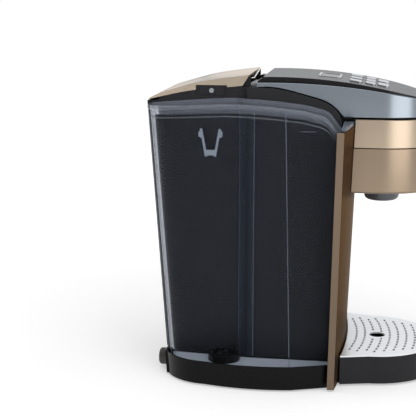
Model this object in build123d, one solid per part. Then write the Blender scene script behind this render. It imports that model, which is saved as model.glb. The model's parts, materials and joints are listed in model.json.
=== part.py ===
from build123d import *
import math
import os

# Pod coffee maker, in millimetres. +Z is up, the front faces -Y, the water reservoir is on -X.
# The origin is the middle of the foot face, on the table.

# Overall shape
TOP_Z = 332.7            # crown of the lid
REAR_Y = 161.0           # rear edge of the top cap
PANEL_HALF_TOP = 125.5   # half width of the front panel at its top edge
PANEL_HALF_LOW = 102.0   # half width of the front panel at its bottom edge
PANEL_TOP_Z = 283.2
PANEL_LOW_Z = 2.5
PANEL_ARC_R = 700.0      # plan radius of the front panel
PANEL_APEX_LOW = -55.0   # foremost line of the panel at its bottom edge
PANEL_APEX_TOP = -64.8   # and at its top edge
PANEL_WALL = 2.5
PANEL_FLANGE = 7.3       # depth of the flange turned back along each side
TRIM_REAR_Y = -50.8      # clear of the reservoir as it lifts
TRIM_H = 4.0
TRIM_REACH = 52.0        # how far the strips run out beside the head
WINDOW_X = 42.0          # opening in the panel behind the head
WINDOW_LOW_Z = 222.0
WINDOW_TOP_Z = 276.0

# Outer flank of the reservoir side, plan points at a low and a high level
FLANK_LOW_Z = 28.0
FLANK_HIGH_Z = 306.0
FLANK_FRONT = ((-80.0, -44.8), (-106.0, -49.8))
FLANK_FRONT_ROUND = ((-89.6, -43.0), (-114.6, -48.0))
FLANK_CORNER = ((-94.0, -38.0), (-118.5, -43.0))
FLANK_CREASE = ((-107.0, 0.0), (-122.0, 6.0))
FLANK_WIDEST = ((-109.5, 47.0), (-124.2, 52.0))
FLANK_SIDE = ((-102.0, 93.0), (-119.0, 105.0))
FLANK_REAR_ROUND = ((-89.5, 124.0), (-104.5, 140.0))
FLANK_REAR = ((-68.0, 139.0), (-78.0, 157.6))

# Feet, base and dock
FOOT_H = 2.0
FOOT_R = 8.0
FOOT_PLACES = ((-84.0, -22.0), (84.0, -22.0), (-76.0, 104.0), (76.0, 104.0), (-34.0, -128.0),
               (34.0, -128.0))
BASE_TOP_Z = 28.0
DECK_Z = 21.0            # top of the deck that the reservoir and the covers stand on
DECK_T = 3.0
BASE_LIP = 1.8
BASE_CLEAR = 0.7         # gap between the lip and what stands inside it
BASE_WALL = 3.0
BASE_FRONT_GAP = 0.4     # base front behind the front panel
BASE_PLATE_T = 2.4
PLATE_CLEAR = 0.4
TONGUE_T = 2.6
TONGUE_INSET = 3.3
SCREW_R = 1.5
SCREW_HEAD_R = 3.5
SCREW_HEAD_T = 1.1
SCREW_L = 11.0
BOSS_R = 4.6
SCREW_PLACES = ((-92.0, 20.0), (92.0, 20.0), (-45.0, 118.0), (45.0, 118.0))

# Side panels of the central column
COLUMN_X = 65.0          # outer face of the column beside the lid
COLUMN_REAR_X = 55.5     # outer face of the column behind the step
COLUMN_WALL = 2.5
STEP_Y = 50.0            # where the column steps in, behind the lid hinge
COLUMN_FRONT_Y = -47.4
ARCH = ((-48.0, 288.2), (-42.4, 298.7), (-35.3, 304.5), (-11.5, 313.0), (12.2, 319.1), (42.5, 321.6))
ARCH_END = (STEP_Y, 321.8)
REAR_LOW_Y = 139.5       # rear face of the column at the base lip
REAR_HIGH_Y = 158.0      # and under the top cap
COVER_WALL = 2.4
COVER_GAP = 0.3
COVER_SET = 0.6          # rear cover behind the column's rear line
REAR_COVER_HALF_TOP = 62.0
COVER_TOP_Z = 312.0      # above the rim line that cuts the covers and the reservoir
VENT_ROWS = 7
VENT_HALF = 30.0
VENT_LOW_Z = 225.0
VENT_PITCH = 8.0
VENT_H = 3.5

# Reservoir
RES_WALL = 2.2
RES_BOTTOM_Z = 21.2
RES_FLOOR = 2.4
RES_INNER_FRONT = 66.6   # inner wall beside the front of the column
RES_INNER_REAR = 57.2    # inner wall beside the rear of the column
RES_STEP_LEN = 6.5       # length of the slanted step between the two
RES_STEP_GAP = 1.5
RES_BEAD = 0.9
RES_BEAD_H = 4.0
RIM = ((-60.0, 272.0), (-45.4, 284.1), (-37.4, 294.7), (-20.4, 301.7), (8.4, 306.3), (50.0, 309.5),
       (117.4, 306.6), (165.0, 302.5))
VALVE_PLACE = (-80.0, 74.0)
FITMENT_R = 17.5
FITMENT_H = 8.0
POST_R = 1.5
POST_H = 5.0
POST_COUNT = 5
STUB_R = 9.0
STUB_LOW_Z = 14.5
VALVE_R = 4.5
VALVE_BORE_GAP = 0.5
VALVE_LOW_Z = 18.6
VALVE_H = 10.0
DOCK_PIN_R = 2.0
DOCK_GAP = 0.8
DOCK_LOW_Z = 6.0
SEAL_WIRE = 1.6
CLIP_Y = 92.0
CLIP_Z = 247.5
CLIP_LOW_W = 12.0
CLIP_TOP_W = 23.0
CLIP_H = 29.0
CLIP_BAR_H = 6.0
CLIP_ARM = 2.4
CLIP_DEPTH = 3.2
CLIP_EAR_H = 9.0

# Brew head, around the pod axis
POD_Y = -91.7
HEAD_R = 65.0
HEAD_WALL = 2.6
HEAD_REAR_Y = -50.0      # the head runs back to here, less the room the front panel takes
HEAD_EDGE_R = 3.0
STAND_X = 40.0           # posts that hold the deck up inside the head
STAND_Y = (-30.0, 21.0)
STAND_R = 3.5
HEAD_LOW_Z = 210.5
SEAM_Z = 259.0
SEAM_GAP = 0.5
COLLAR_TOP_Z = 289.5
HEAD_PANEL_GAP = 0.3
HEAD_DECK_Z = 283.6
HEAD_DECK_T = 4.0
HOLDER_R = 26.0
HOLDER_FLANGE_R = 31.0
HOLDER_FLANGE_T = 2.4
HOLDER_LOW_Z = 242.0
HOLDER_WALL = 2.0
HOLDER_CLEAR = 0.5
FUNNEL_R = 22.5
FUNNEL_WALL = 2.0
FUNNEL_LOW_Z = 193.6
NOZZLE_R = 18.5
DOME_EDGE_R = 5.0
SPOUT_R = 4.0
EXIT_NEEDLE_R = 1.6
EXIT_NEEDLE_H = 9.0

# Lid
HINGE_Y = 46.0
HINGE_Z = 322.0
LID_TOP_R = 560.0        # profile radius of the lid's crown
LID_CROWN_Y = 22.0
LID_REAR_Y = 42.4
LID_REAR_TOP_Y = 35.5    # the crown's rear end slants forward to here
LID_PANEL_T = 5.0
LID_PANEL_X = 60.6
HANDLE_X = 64.6
HANDLE_WALL = 3.0
HANDLE_TOP_R = 733.0
HANDLE_CROWN_Z = 326.8
HANDLE_LOW_Z = 291.5
HANDLE_LIP_Y = -161.0
HANDLE_LIP_Z = 295.0
HANDLE_LIP_H = 7.0
LID_GAP = 0.9            # between the lid and the arch below it
LID_FLOOR_T = 2.5
LID_SHELL_WALL = 2.0
KNUCKLE_R = 5.0
PIN_R = 2.4
PIN_FIXED_GAP = 0.02
PIN_RUN_GAP = 0.06
PIN_HALF = 51.5
BRACKET_X = 47.0
BRACKET_T = 4.0
KNUCKLE_X = 32.0
KNUCKLE_L = 14.0
TROUGH_Y = 33.0
TROUGH_Z = 312.0
TROUGH_WALL = 2.5
CHEEK = ((50.6, 317.0), (50.6, 332.6), (57.5, 321.8), (57.5, 317.0))   # walls that close the trough's ends
ENTRY_NEEDLE_R = 1.5
ENTRY_NEEDLE_LOW_Z = 279.5
GASKET_R = 14.0
GASKET_T = 3.6
LATCH_Y = -150.0
LATCH_W = 16.0

# Controls on the lid, set square to the lid's slope there
CONTROL_Y = -75.5
DISPLAY_Y = -32.5
DISPLAY_W = 40.0
DISPLAY_L = 20.0
BEZEL_W = 2.2
BUTTON_TRAVEL = 1.0
BUTTON_PROUD = 1.3
BUTTON_CLEAR = 0.45
BUTTON_FLANGE = 1.2
BUTTON_FLANGE_T = 1.4
BUTTON_SEAT = 0.3
BUTTONS = (("button_hot_water", -31.0, -61.0, 20.0, 13.0), ("button_power", 0.0, -61.0, 20.0, 13.0),
           ("button_strong", 31.0, -61.0, 20.0, 13.0), ("button_small_cup", -28.0, -76.6, 22.0, 10.5),
           ("button_medium_cup", 0.0, -76.6, 22.0, 10.5), ("button_large_cup", 28.0, -76.6, 22.0, 10.5),
           ("button_iced", -20.0, -90.2, 26.0, 11.5), ("button_brew", 20.0, -90.2, 26.0, 11.5))
DOME_R = 3.4
DOME_H = 1.6
BOARD_T = 1.6
BOARD_POST_DROP = 12.2
KEYPAD_W = 108.0
KEYPAD_L = 52.0
KEYPAD_POST_X = 50.0
KEYPAD_POSTS_Y = (-52.0, -99.0)
KEYPAD_POST_R = 3.0

# Drip tray
TRAY_REAR_APEX = -57.6
TRAY_REAR_X = 83.0
TRAY_SIDE_X = 75.0
TRAY_SIDE_Y = -84.0
TRAY_FRONT_Y = -159.5
TRAY_WALL = 2.4
TRAY_LOW_Z = 2.6
TRAY_TOP_Z = 33.0
TRAY_FLOOR_Z = 7.4
TONGUE_GAP = 0.3
DRIP_T = 1.7
DRIP_INSET = 0.4
DRIP_SEAT_GAP = 0.1
DRIP_RIM_H = 4.0
DRIP_RIM_GAP = 0.5
DRIP_RIM_T = 1.4
DRIP_HOLE_R = 8.8
SLOT_PITCH = 9.4
SLOT_W = 2.4
SLOT_L = 6.2
SLOT_STEP = 9.4
SLOT_SPAN = 8             # slots each side of the middle in the widest row
SLOT_ARC_R = 260.0
SLOT_FIRST_Y = -68.5
SLOT_ROWS = 9
SLOT_EDGE = 8.0

# Rear cap and latch plate
CAP_FRONT_TOP = (51.0, 334.0)
CAP_FRONT_LOW = (58.5, 322.2)
CAP_CROWN = ((83.5, 329.8), (110.8, 324.6), (132.8, 318.3), (149.4, 313.0))
CAP_LOW = ((146.1, 310.0), (111.4, 317.0), (75.0, 320.6))
CAP_WALL = 2.4
CAP_REAR_Z = 306.5
CAP_GAP = 0.5
LATCH_PLATE_Y = 92.0
LATCH_PLATE_L = 34.0
LATCH_PLATE_LOW_Z = 311.5
LATCH_SCREW_Z = 316.8
CAP_SCREW_R = 1.2
CAP_SCREW_HEAD_R = 2.6

# Works inside the column
PUMP_PLACE = (8.0, -8.0)
PUMP_R = 23.0
PUMP_MOUNT_T = 5.0
PUMP_H = 30.0
PUMP_WALL = 3.0
MOTOR_R = 17.5
MOTOR_H = 46.0
SHAFT_R = 2.0
SHAFT_GAP = 0.05
IMPELLER_R = 17.0
IMPELLER_T = 8.0
BLADES = 6
TANK_PLACE = (6.0, 84.0)
TANK_R = 40.0
TANK_LOW_Z = 60.0
TANK_H = 150.0
TANK_WALL = 2.0
TANK_CAP_H = 12.0
TANK_LEGS = 3
HOSE_R = 3.5
HOSE_BORE_R = 2.0
LID_HOSE_R = 2.4
BOARD_X = 72.0
BOARD_POST_R = 3.5
BOARD_POSTS_Y = (-14.0, 44.0)
BOARD_POSTS_Z = (116.0, 226.0)
BOARD_Y = (-20.0, 92.0)
BOARD_Z = (110.0, 235.0)
WIRE_HOLES = ((20.0, 240.0), (-20.0, 90.0))
WIRE_HOLE_R = 12.0
LEG_R = 4.5
LEG_RING_H = 6.0
BREW_HOSE_Z = (256.0, 292.0)
BREW_HOSE_Y = -10.0
GLAND_PLACE = (-48.0, 13.0)
GLAND_R = 9.5
GLAND_L = 11.0
GLAND_BORE_R = 3.6

os.makedirs("parts", exist_ok=True)


def save(name, shape):
    export_step(shape, "parts/" + name + ".step")


def box(x0, x1, y0, y1, z0, z1):
    return Pos((x0 + x1) / 2, (y0 + y1) / 2, (z0 + z1) / 2) * Box(x1 - x0, y1 - y0, z1 - z0)


def post(x, y, z0, z1, radius):
    return Pos(x, y, (z0 + z1) / 2) * Cylinder(radius, z1 - z0)


def rod_x(x0, x1, y, z, radius):
    return Pos((x0 + x1) / 2, y, z) * Rot(0, 90, 0) * Cylinder(radius, x1 - x0)


def rod_y(x, y0, y1, z, radius):
    return Pos(x, (y0 + y1) / 2, z) * Rot(90, 0, 0) * Cylinder(radius, y1 - y0)


def ring(x, y, z0, z1, outer, inner):
    return post(x, y, z0, z1, outer) - post(x, y, z0 - 1, z1 + 1, inner)


def across(edges, x0, x1):
    """A profile of edges drawn in the YZ plane at x = 0, stretched from x0 to x1."""
    face = make_face(edges)
    return Pos(x0, 0, 0) * extrude(face, amount=x1 - x0, dir=(1, 0, 0))


def yz(points):
    return [(0, y, z) for y, z in points]


def polygon_x(points, x0, x1):
    return across(Polyline(*yz(points), close=True), x0, x1)


def mirrored(shape):
    return mirror(shape, about=Plane.YZ)


# Plan outlines


def at_level(pair, z):
    share = (z - FLANK_LOW_Z) / (FLANK_HIGH_Z - FLANK_LOW_Z)
    (x0, y0), (x1, y1) = pair
    return (x0 + (x1 - x0) * share, y0 + (y1 - y0) * share, z)


def flank_face(z, inner_front, inner_rear, grow=0.0):
    """Plan of the reservoir side at height z, from the column wall out to the curved flank."""
    front = at_level(FLANK_FRONT, z)
    corner = at_level(FLANK_CORNER, z)
    crease = at_level(FLANK_CREASE, z)
    side = at_level(FLANK_SIDE, z)
    rear = at_level(FLANK_REAR, z)
    step_y = STEP_Y + COLUMN_WALL + RES_STEP_GAP
    step_front = (-inner_front, step_y, z)
    step_rear = (-inner_rear, step_y + RES_STEP_LEN, z)
    edges = [Line((-inner_front, front[1], z), front)]
    edges += [ThreePointArc(front, at_level(FLANK_FRONT_ROUND, z), corner)]
    edges += [Line(corner, crease)]
    edges += [ThreePointArc(crease, at_level(FLANK_WIDEST, z), side)]
    edges += [ThreePointArc(side, at_level(FLANK_REAR_ROUND, z), rear)]
    edges += [Line(rear, (-inner_rear, rear[1], z)), Line((-inner_rear, rear[1], z), step_rear)]
    edges += [Line(step_rear, step_front), Line(step_front, (-inner_front, front[1], z))]
    face = make_face(edges)
    if grow:
        face = offset(face, grow, kind=Kind.INTERSECTION)
    return face


def flank(z0, z1, inner_front, inner_rear, grow=0.0):
    low = flank_face(z0, inner_front, inner_rear, grow)
    high = flank_face(z1, inner_front, inner_rear, grow)
    return loft([low, high], ruled=True)


def panel_share(z):
    return (z - PANEL_LOW_Z) / (PANEL_TOP_Z - PANEL_LOW_Z)


def panel_apex(z):
    return PANEL_APEX_LOW + (PANEL_APEX_TOP - PANEL_APEX_LOW) * panel_share(z)


def panel_half(z):
    return PANEL_HALF_LOW + (PANEL_HALF_TOP - PANEL_HALF_LOW) * panel_share(z)


def panel_y(x, z):
    """Front surface of the front panel."""
    return panel_apex(z) + PANEL_ARC_R - math.sqrt(PANEL_ARC_R ** 2 - x ** 2)


def column_face(z, half, setback, rear_y):
    """Plan with the front panel's curve as its front edge, moved back by setback."""
    edge_y = panel_y(half, z) + setback
    apex = (0, panel_apex(z) + setback, z)
    arc = ThreePointArc((-half, edge_y, z), apex, (half, edge_y, z))
    sides = Polyline((half, edge_y, z), (half, rear_y, z), (-half, rear_y, z), (-half, edge_y, z))
    return make_face([arc, sides])


def column(z0, z1, half0, half1, setback, rear0, rear1):
    return loft([column_face(z0, half0, setback, rear0), column_face(z1, half1, setback, rear1)],
                ruled=True)


def head_plan(z0, z1, grow, rear_y):
    """Brew head plan: straight sides from rear_y to the pod axis, and a half round front."""
    radius = HEAD_R + grow
    sides = box(-radius, radius, POD_Y, rear_y, z0, z1)
    return sides + (post(0, POD_Y, z0, z1, radius) & box(-radius, radius, POD_Y - radius, POD_Y, z0, z1))


def tray_face(z, inset):
    """Tray plan: its rear follows the front panel, its front is round."""
    apex = TRAY_REAR_APEX - inset
    rear_x = TRAY_REAR_X - inset
    side_x = TRAY_SIDE_X - inset
    rear_y = apex + PANEL_ARC_R - math.sqrt(PANEL_ARC_R ** 2 - rear_x ** 2)
    rear = ThreePointArc((-rear_x, rear_y, z), (0, apex, z), (rear_x, rear_y, z))
    left = Line((-side_x, TRAY_SIDE_Y, z), (-rear_x, rear_y, z))
    right = Line((rear_x, rear_y, z), (side_x, TRAY_SIDE_Y, z))
    front = ThreePointArc((side_x, TRAY_SIDE_Y, z), (0, TRAY_FRONT_Y + inset, z), (-side_x, TRAY_SIDE_Y, z))
    return make_face([rear, right, front, left])


def tray_block(z0, z1, inset):
    return extrude(tray_face(z0, inset), amount=z1 - z0, dir=(0, 0, 1))


# Base


def footprint(z0, z1, grow):
    """Both flanks and the middle, as far as the covers and the reservoir reach, grown outwards."""
    left = flank(z0, z1, RES_INNER_REAR - 8, RES_INNER_REAR - 8, grow)
    middle = column(z0, z1, COLUMN_X + 8, COLUMN_X + 8, PANEL_WALL + BASE_FRONT_GAP + BASE_LIP
                    + BASE_CLEAR - grow, at_level(FLANK_REAR, z0)[1] + grow,
                    at_level(FLANK_REAR, z1)[1] + grow)
    return left + mirrored(left) + middle


def base_housing():
    """Base tub: a deck with a lip round it, hollow below, and a thin tongue under the drip tray."""
    body = footprint(FOOT_H, BASE_TOP_Z, BASE_CLEAR + BASE_LIP)
    body += tray_block(FOOT_H, FOOT_H + TONGUE_T, TONGUE_INSET)
    half = TRAY_REAR_X - TONGUE_INSET - 3
    neck_y = panel_y(half, FOOT_H) + PANEL_WALL + 3
    body += box(-half, half, TRAY_REAR_APEX - 4, neck_y, FOOT_H, FOOT_H + TONGUE_T)
    body -= footprint(DECK_Z, BASE_TOP_Z + 1, BASE_CLEAR)
    body -= footprint(FOOT_H - 1, DECK_Z - DECK_T, BASE_CLEAR + BASE_LIP - BASE_WALL)
    for x, y in SCREW_PLACES:
        boss = post(x, y, FOOT_H + BASE_PLATE_T + PLATE_CLEAR, DECK_Z - DECK_T / 2, BOSS_R)
        body += boss - post(x, y, 0, SCREW_L + FOOT_H + 2, SCREW_R + PIN_FIXED_GAP)
    x, y = VALVE_PLACE
    body -= post(x, y, DOCK_LOW_Z, DECK_Z + 1, STUB_R + DOCK_GAP + 2)
    x, z = GLAND_PLACE
    body -= rod_y(x, REAR_LOW_Y - 8, REAR_LOW_Y + 8, z, GLAND_BORE_R + 2)
    return body


def base_plate():
    inset = BASE_CLEAR + BASE_LIP - BASE_WALL - PLATE_CLEAR
    plate = footprint(FOOT_H, FOOT_H + BASE_PLATE_T, inset)
    for x, y in SCREW_PLACES:
        plate -= post(x, y, 0, FOOT_H + SCREW_HEAD_T + 0.1, SCREW_HEAD_R + 0.4)
        plate -= post(x, y, 0, FOOT_H + BASE_PLATE_T + 1, SCREW_R + 0.4)
    return plate


def base_screws():
    low = FOOT_H + 0.1
    screws = []
    for x, y in SCREW_PLACES:
        head = post(x, y, low, low + SCREW_HEAD_T, SCREW_HEAD_R)
        head -= box(x - SCREW_HEAD_R + 1, x + SCREW_HEAD_R - 1, y - 0.4, y + 0.4, low - 1, low + 0.6)
        screws.append(head + post(x, y, low + 0.5, low + SCREW_L, SCREW_R))
    return Compound(screws)


def rubber_feet():
    feet = []
    for x, y in FOOT_PLACES:
        feet.append(chamfer(post(x, y, 0, FOOT_H, FOOT_R).edges().group_by(Axis.Z)[0], 0.5))
    return Compound(feet)


def dock_socket():
    x, y = VALVE_PLACE
    outer = STUB_R + DOCK_GAP + 1.8
    cup = post(x, y, DOCK_LOW_Z + 0.2, DECK_Z, outer)
    cup -= post(x, y, STUB_LOW_Z - 2.5, DECK_Z + 1, STUB_R + DOCK_GAP)
    cup += post(x, y, STUB_LOW_Z - 3, VALVE_LOW_Z - 0.1, DOCK_PIN_R)
    return cup - post(x + 5.5, y, DOCK_LOW_Z - 1, DECK_Z, 1.5)


def cord_gland():
    x, z = GLAND_PLACE
    wall_y = at_level(FLANK_REAR, z + GLAND_R)[1] + BASE_CLEAR + BASE_LIP + 0.1
    boss = rod_y(x, wall_y, wall_y + GLAND_L, z, GLAND_R)
    boss = fillet(boss.edges().group_by(Axis.Y)[-1], 3.0)
    return boss - rod_y(x, wall_y - 1, wall_y + GLAND_L + 1, z, GLAND_BORE_R)


# Column shell


def rear_y(z):
    """Rear face of the column, which leans back towards the top."""
    low = BASE_TOP_Z + COVER_GAP
    share = (z - low) / (CAP_REAR_Z - CAP_GAP - low)
    return REAR_LOW_Y + (REAR_HIGH_Y - REAR_LOW_Y) * share


def arch_points(dy, dz):
    return yz([(y + dy, z + dz) for y, z in ARCH])


def side_panel():
    """Left wall of the column: arched under the lid in front, stepped in behind it."""
    low = DECK_Z + COVER_GAP
    arch = arch_points(0, 0)
    end = (0, ARCH_END[0] + COLUMN_WALL, ARCH_END[1])
    outline = [Line((0, COLUMN_FRONT_Y, low), arch[0]), Spline(*arch), Line(arch[-1], end)]
    outline += [Line(end, (0, end[1], low)), Line((0, end[1], low), (0, COLUMN_FRONT_Y, low))]
    front = across(outline, -COLUMN_X, -COLUMN_X + COLUMN_WALL)
    web = box(-COLUMN_X, -COLUMN_REAR_X + COLUMN_WALL, STEP_Y, STEP_Y + COLUMN_WALL, low, ARCH_END[1])
    reach = COVER_SET - COVER_GAP
    top = [(STEP_Y, ARCH_END[1]), (75.0, 320.1), (111.4, 316.4), (146.1, 309.4)]
    foot_z = BASE_TOP_Z + COVER_GAP
    top += [(152.0, 305.5), (rear_y(305.5) + reach, 305.5), (rear_y(foot_z) + reach, foot_z)]
    top += [(REAR_LOW_Y - 2, foot_z), (REAR_LOW_Y - 2, low), (STEP_Y, low)]
    rear = polygon_x(top, -COLUMN_REAR_X, -COLUMN_REAR_X + COLUMN_WALL)
    return front + web + rear


def left_panel():
    y = LATCH_PLATE_Y
    half = LATCH_PLATE_L / 2
    notch = box(-COLUMN_REAR_X - 1, -COLUMN_REAR_X + 4, y - half, y + half, LATCH_PLATE_LOW_Z, 330)
    return side_panel() - notch


def right_wall():
    wall = mirrored(side_panel())
    for y in BOARD_POSTS_Y:
        for z in BOARD_POSTS_Z:
            wall += rod_x(COLUMN_X - 1, BOARD_X - 0.1, y, z, BOARD_POST_R)
    for y, z in WIRE_HOLES:
        wall -= rod_x(COLUMN_REAR_X - 5, BOARD_X - 1, y, z, WIRE_HOLE_R)
    return wall


def below_rim(lower):
    """Everything below the curved rim line of the reservoir, lowered by the given amount."""
    points = yz([(y, z - lower) for y, z in RIM])
    start = (0, RIM[0][0], 0)
    end = (0, RIM[-1][0], 0)
    return across([Line(start, points[0]), Spline(*points), Line(points[-1], end), Line(end, start)],
                  -150, 150)


def right_side_cover():
    top = COVER_TOP_Z
    low = BASE_TOP_Z + COVER_GAP
    inner_front = COLUMN_X + COVER_GAP
    inner_rear = COLUMN_REAR_X + COVER_GAP
    shell = flank(low, top, inner_front, inner_rear) & below_rim(0)
    hollow = flank(low - 5, top, inner_front - 20, inner_rear - 20, -COVER_WALL)
    return mirrored(shell - (hollow & below_rim(COVER_WALL)))


def rear_cover_face(z, half):
    front = rear_y(z) + COVER_SET
    return make_face(Polyline((-half, front, z), (half, front, z), (half, front + COVER_WALL, z),
                              (-half, front + COVER_WALL, z), close=True))


def rear_cover():
    """Rear wall, a little wider than the column at the top, with cooling slots."""
    low = BASE_TOP_Z + COVER_GAP
    top = CAP_REAR_Z - CAP_GAP
    cover = loft([rear_cover_face(low, COLUMN_REAR_X), rear_cover_face(top, REAR_COVER_HALF_TOP)], ruled=True)
    for row in range(VENT_ROWS):
        z = VENT_LOW_Z + row * VENT_PITCH
        cover -= box(-VENT_HALF, VENT_HALF, REAR_LOW_Y - 10, REAR_HIGH_Y + 10, z, z + VENT_H)
    return cover


def front_panel():
    half0 = panel_half(PANEL_LOW_Z)
    half1 = panel_half(PANEL_TOP_Z)
    rear0 = panel_y(half0, PANEL_LOW_Z) + PANEL_FLANGE
    rear1 = panel_y(half1, PANEL_TOP_Z) + PANEL_FLANGE
    panel = column(PANEL_LOW_Z, PANEL_TOP_Z, half0, half1, 0, rear0, rear1)
    panel -= column(PANEL_LOW_Z, PANEL_TOP_Z, half0 - PANEL_WALL, half1 - PANEL_WALL, PANEL_WALL,
                    rear0 + 1, rear1 + 1)
    notch = TRAY_REAR_X - TONGUE_INSET - 2
    panel -= box(-notch, notch, -70, -40, 0, FOOT_H + TONGUE_T + 0.4)
    return panel - box(-WINDOW_X, WINDOW_X, -80, -50, WINDOW_LOW_Z, WINDOW_TOP_Z)


def panel_top_trim():
    """Clear strips that close the top edge of the front panel on each side of the head."""
    low = PANEL_TOP_Z + 0.2
    half = COLUMN_X + TRIM_REACH
    strip = column(low, low + TRIM_H, half, half, 0.6, TRIM_REAR_Y, TRIM_REAR_Y)
    strip -= box(-COLUMN_X - 1, COLUMN_X + 1, -90, 0, 0, 400)
    return Compound(strip.solids())


def top_deck():
    """Deck under the lid, with a trough for the hinge."""
    half = COLUMN_X - COLUMN_WALL - COVER_GAP
    upper = arch_points(1.2, -1.0)
    lower = arch_points(3.4, -3.6)
    rear_up = (0, STEP_Y - 0.7, ARCH_END[1] - 1.0)
    rear_low = (0, STEP_Y - 0.7, ARCH_END[1] - 3.6)
    foot = (0, upper[0][1], HEAD_DECK_Z - 6)
    foot_in = (0, lower[0][1], HEAD_DECK_Z - 6)
    outline = [Line(foot, upper[0]), Spline(*upper), Line(upper[-1], rear_up), Line(rear_up, rear_low)]
    outline += [Line(rear_low, lower[-1]), Spline(*lower), Line(lower[0], foot_in), Line(foot_in, foot)]
    deck = across(outline, -half, half)
    in_half = COLUMN_REAR_X - COLUMN_WALL - COVER_GAP
    deck -= box(-in_half, in_half, TROUGH_Y, 80, 300, 340)
    trough = box(-in_half, in_half, TROUGH_Y, CAP_FRONT_LOW[0] - 1, TROUGH_Z - TROUGH_WALL, 318.2)
    trough -= box(-in_half + TROUGH_WALL, in_half - TROUGH_WALL, TROUGH_Y + TROUGH_WALL, 80, TROUGH_Z, 330)
    cheek = polygon_x(CHEEK, in_half - TROUGH_WALL, in_half)
    return deck + trough + cheek + mirrored(cheek)


def rear_top_cap():
    half = COLUMN_REAR_X
    crown = Spline(*yz([CAP_FRONT_TOP] + list(CAP_CROWN) + [(REAR_Y, CAP_REAR_Z + 0.8)]))
    low_line = Spline(*yz([(REAR_Y, CAP_REAR_Z)] + list(CAP_LOW) + [CAP_FRONT_LOW]))
    front = Line(yz([CAP_FRONT_LOW])[0], yz([CAP_FRONT_TOP])[0])
    back = Line(yz([(REAR_Y, CAP_REAR_Z + 0.8)])[0], yz([(REAR_Y, CAP_REAR_Z)])[0])
    block = across([crown, back, low_line, front], -half, half)
    inner_top = Spline(*yz([(CAP_FRONT_TOP[0] + 5, CAP_FRONT_TOP[1] - 3.2)]
                           + [(y - 0.6, z - CAP_WALL) for y, z in CAP_CROWN] + [(154.0, 306.8)]))
    start = (0, CAP_FRONT_TOP[0] + 5, CAP_FRONT_TOP[1] - 3.2)
    floor = [Line((0, 154.0, 306.8), (0, 154.0, 290)), Line((0, 154.0, 290), (0, 61.0, 290)),
             Line((0, 61.0, 290), start)]
    block -= across([inner_top] + floor, -half + CAP_WALL, half - CAP_WALL)
    y = LATCH_PLATE_Y
    return block - box(-60, -half + 3, y - LATCH_PLATE_L / 2, y + LATCH_PLATE_L / 2, 300, 322.6)


def side_latch_plate():
    """Dark plate under the notch of the cap, with a recess for its screw."""
    x = -COLUMN_REAR_X
    y = LATCH_PLATE_Y
    half = LATCH_PLATE_L / 2 - COVER_GAP
    plate = box(x + 0.2, x + COLUMN_WALL, y - half, y + half, LATCH_PLATE_LOW_Z + COVER_GAP, 322.2)
    plate -= rod_x(x - 1, x + 1.2, y, LATCH_SCREW_Z, CAP_SCREW_HEAD_R + 1.6)
    plate -= box(x - 1, x + 1.2, y - 15.2, y - 13.4, 314, 320)
    plate -= box(x - 1, x + 1.2, y + 12.4, y + 14.2, 314, 320)
    return plate - rod_x(x - 3, x + 6, y, LATCH_SCREW_Z, CAP_SCREW_R + PIN_FIXED_GAP)


def cap_screw():
    x = -COLUMN_REAR_X
    y = LATCH_PLATE_Y
    head = rod_x(x + 0.3, x + 1.15, y, LATCH_SCREW_Z, CAP_SCREW_HEAD_R)
    return head + rod_x(x + 1, x + 7, y, LATCH_SCREW_Z, CAP_SCREW_R)


# Reservoir


def reservoir_shell():
    top = COVER_TOP_Z
    outer = flank(RES_BOTTOM_Z, top, RES_INNER_FRONT, RES_INNER_REAR) & below_rim(0)
    inner = flank(RES_BOTTOM_Z + RES_FLOOR, top, RES_INNER_FRONT, RES_INNER_REAR, -RES_WALL)
    bead = flank(250, top, RES_INNER_FRONT, RES_INNER_REAR, RES_BEAD) & below_rim(0)
    bead -= below_rim(RES_BEAD_H)
    bead &= box(-150, -COLUMN_X - 9, -43, 200, 0, 340)
    shell = outer + bead - inner
    x, y = VALVE_PLACE
    shell += post(x, y, STUB_LOW_Z, RES_BOTTOM_Z + 1, STUB_R)
    return shell - post(x, y, 0, 60, VALVE_R + VALVE_BORE_GAP)


def outlet_fitment():
    x, y = VALVE_PLACE
    z = RES_BOTTOM_Z + RES_FLOOR + 0.05
    body = ring(x, y, z, z + FITMENT_H, FITMENT_R, FITMENT_R - 2.5)
    body += ring(x, y, z, z + 2, FITMENT_R, VALVE_R + 1.5)
    body += ring(x, y, z, z + FITMENT_H, VALVE_R + 3.0, VALVE_R + 1.5)
    body += post(x, y, z + FITMENT_H - 1.5, z + FITMENT_H, VALVE_R + 3.0)
    for turn in range(3):
        arm = box(VALVE_R + 2, FITMENT_R - 1, -1.2, 1.2, z, z + FITMENT_H - 1)
        body += Pos(x, y, 0) * Rot(0, 0, 120 * turn) * arm
    for turn in range(POST_COUNT):
        angle = math.radians(36 + 360 / POST_COUNT * turn)
        px = x + (FITMENT_R - POST_R) * math.cos(angle)
        py = y + (FITMENT_R - POST_R) * math.sin(angle)
        body += post(px, py, z + 1, z + FITMENT_H + POST_H, POST_R - 0.2)
    return body


def valve_plunger():
    x, y = VALVE_PLACE
    stem = post(x, y, VALVE_LOW_Z, VALVE_LOW_Z + VALVE_H - 3.2, VALVE_R - 1.2)
    return stem + post(x, y, VALVE_LOW_Z + 2, VALVE_LOW_Z + 4, VALVE_R)


def valve_spring():
    """Closing spring between the plunger's collar and the fitment's crown, as its envelope."""
    x, y = VALVE_PLACE
    low = VALVE_LOW_Z + 4.1
    high = RES_BOTTOM_Z + RES_FLOOR + FITMENT_H - 1.6
    return ring(x, y, low, high, VALVE_R - 0.1, VALVE_R - 0.9)


def dock_seal():
    x, y = VALVE_PLACE
    z = STUB_LOW_Z - 2.5
    return ring(x, y, z, z + SEAL_WIRE, STUB_R - 1.0, STUB_R - 3.0)


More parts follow.
